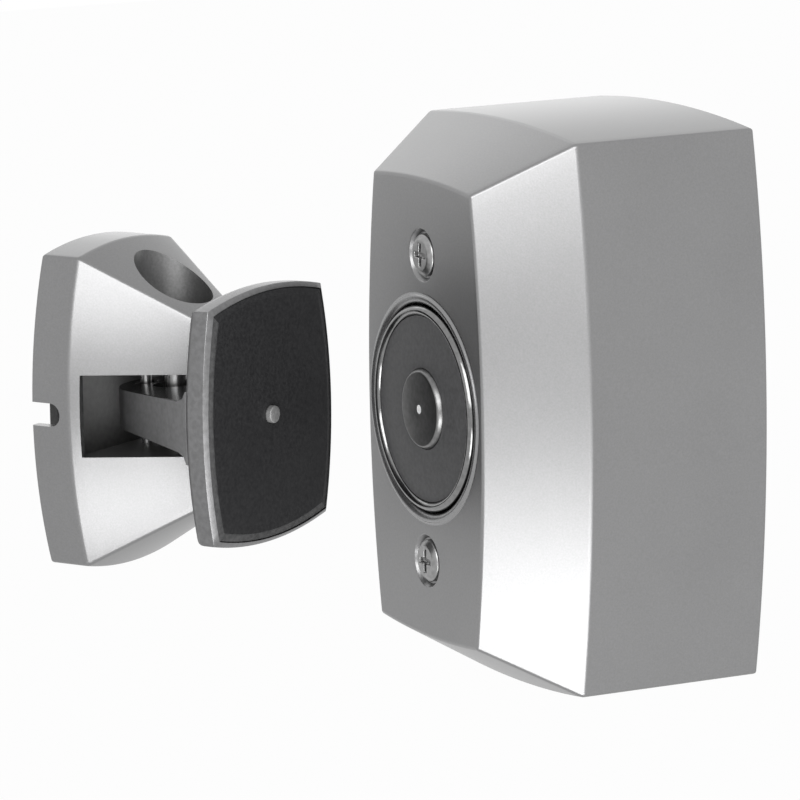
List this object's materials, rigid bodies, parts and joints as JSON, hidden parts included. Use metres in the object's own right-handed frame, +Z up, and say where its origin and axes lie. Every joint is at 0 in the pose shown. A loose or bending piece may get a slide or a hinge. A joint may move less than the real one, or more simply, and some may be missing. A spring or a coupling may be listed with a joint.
{
  "type": "electromagnetic door holder",
  "caption": "Electromagnetic door holder: a wall magnet unit in a deep bowed housing and a matching door unit with a swivelling black-faced catch plate.",
  "frame": {"origin": "middle of the magnet unit's wall face", "axes": "+Y into the wall, so the magnet looks along -Y, +X to the right seen from in front, +Z up; the catch plate unit stands beside it, turned 120 degrees about +Z"},
  "size_m": [0.1004, 0.1343, 0.1206],
  "materials": {
    "satin_casting": "satin, sprayed metal finish",
    "steel_plate": "zinc plated",
    "steel_screw": "plated",
    "magnet_steel": "nickel plated, satin",
    "core_steel": "dark, ground",
    "carrier_steel": "satin",
    "black_plate": "black, satin",
    "pin_steel": "satin",
    "grey_resin": "cast resin, dark grey",
    "white_nylon": "natural nylon",
    "black_nylon": "black nylon",
    "copper_wire": "enamelled copper winding",
    "terminal_plastic": "black",
    "brass_screw": "plain"
  },
  "bodies": {
    "holder": {"magnet_housing": "satin_casting", "cover_screws": "steel_screw", "cover_posts": "steel_plate", "wall_plate": "steel_plate", "magnet_bracket": "steel_plate", "bracket_rivets": "steel_screw", "magnet_cup": "magnet_steel", "magnet_core": "core_steel", "coil_bobbin": "white_nylon", "coil_winding": "copper_wire", "coil_cover": "grey_resin", "core_screw": "steel_screw", "core_lock_washer": "steel_screw", "terminal_block": "terminal_plastic", "terminal_screws": "brass_screw", "terminal_fixing": "steel_screw", "catch_base": "satin_casting", "door_plate": "steel_plate", "base_set_screw": "steel_screw", "pivot_screw": "steel_screw", "pivot_sleeves": "steel_screw", "limit_pin": "steel_screw"},
    "swivel": {"swivel_ball": "black_nylon"},
    "catch_plate": {"catch_carrier": "carrier_steel", "face_plate": "black_plate", "face_screws": "steel_screw", "release_spring": "steel_screw"},
    "release_pin": {"release_pin": "pin_steel"}
  },
  "joints": [
    {"name": "catch_swivel", "type": "hinge", "parent": "holder", "child": "swivel", "pos_m": [-0.03273, -0.10405, 0], "axis": [0, 0, 1], "range_deg": [-10, 10]},
    {"name": "catch_tilt", "type": "hinge", "parent": "swivel", "child": "catch_plate", "pos_m": [-0.03273, -0.10405, 0], "axis": [-0.5, 0.866, 0], "range_deg": [-2.8, 3.2]},
    {"name": "release_push", "type": "slide", "parent": "catch_plate", "child": "release_pin", "axis": [-0.866, -0.5, -0.0035], "range_m": [0, 0.001], "stiffness_N_per_m": 600, "springref_m": -0.002}
  ]
}
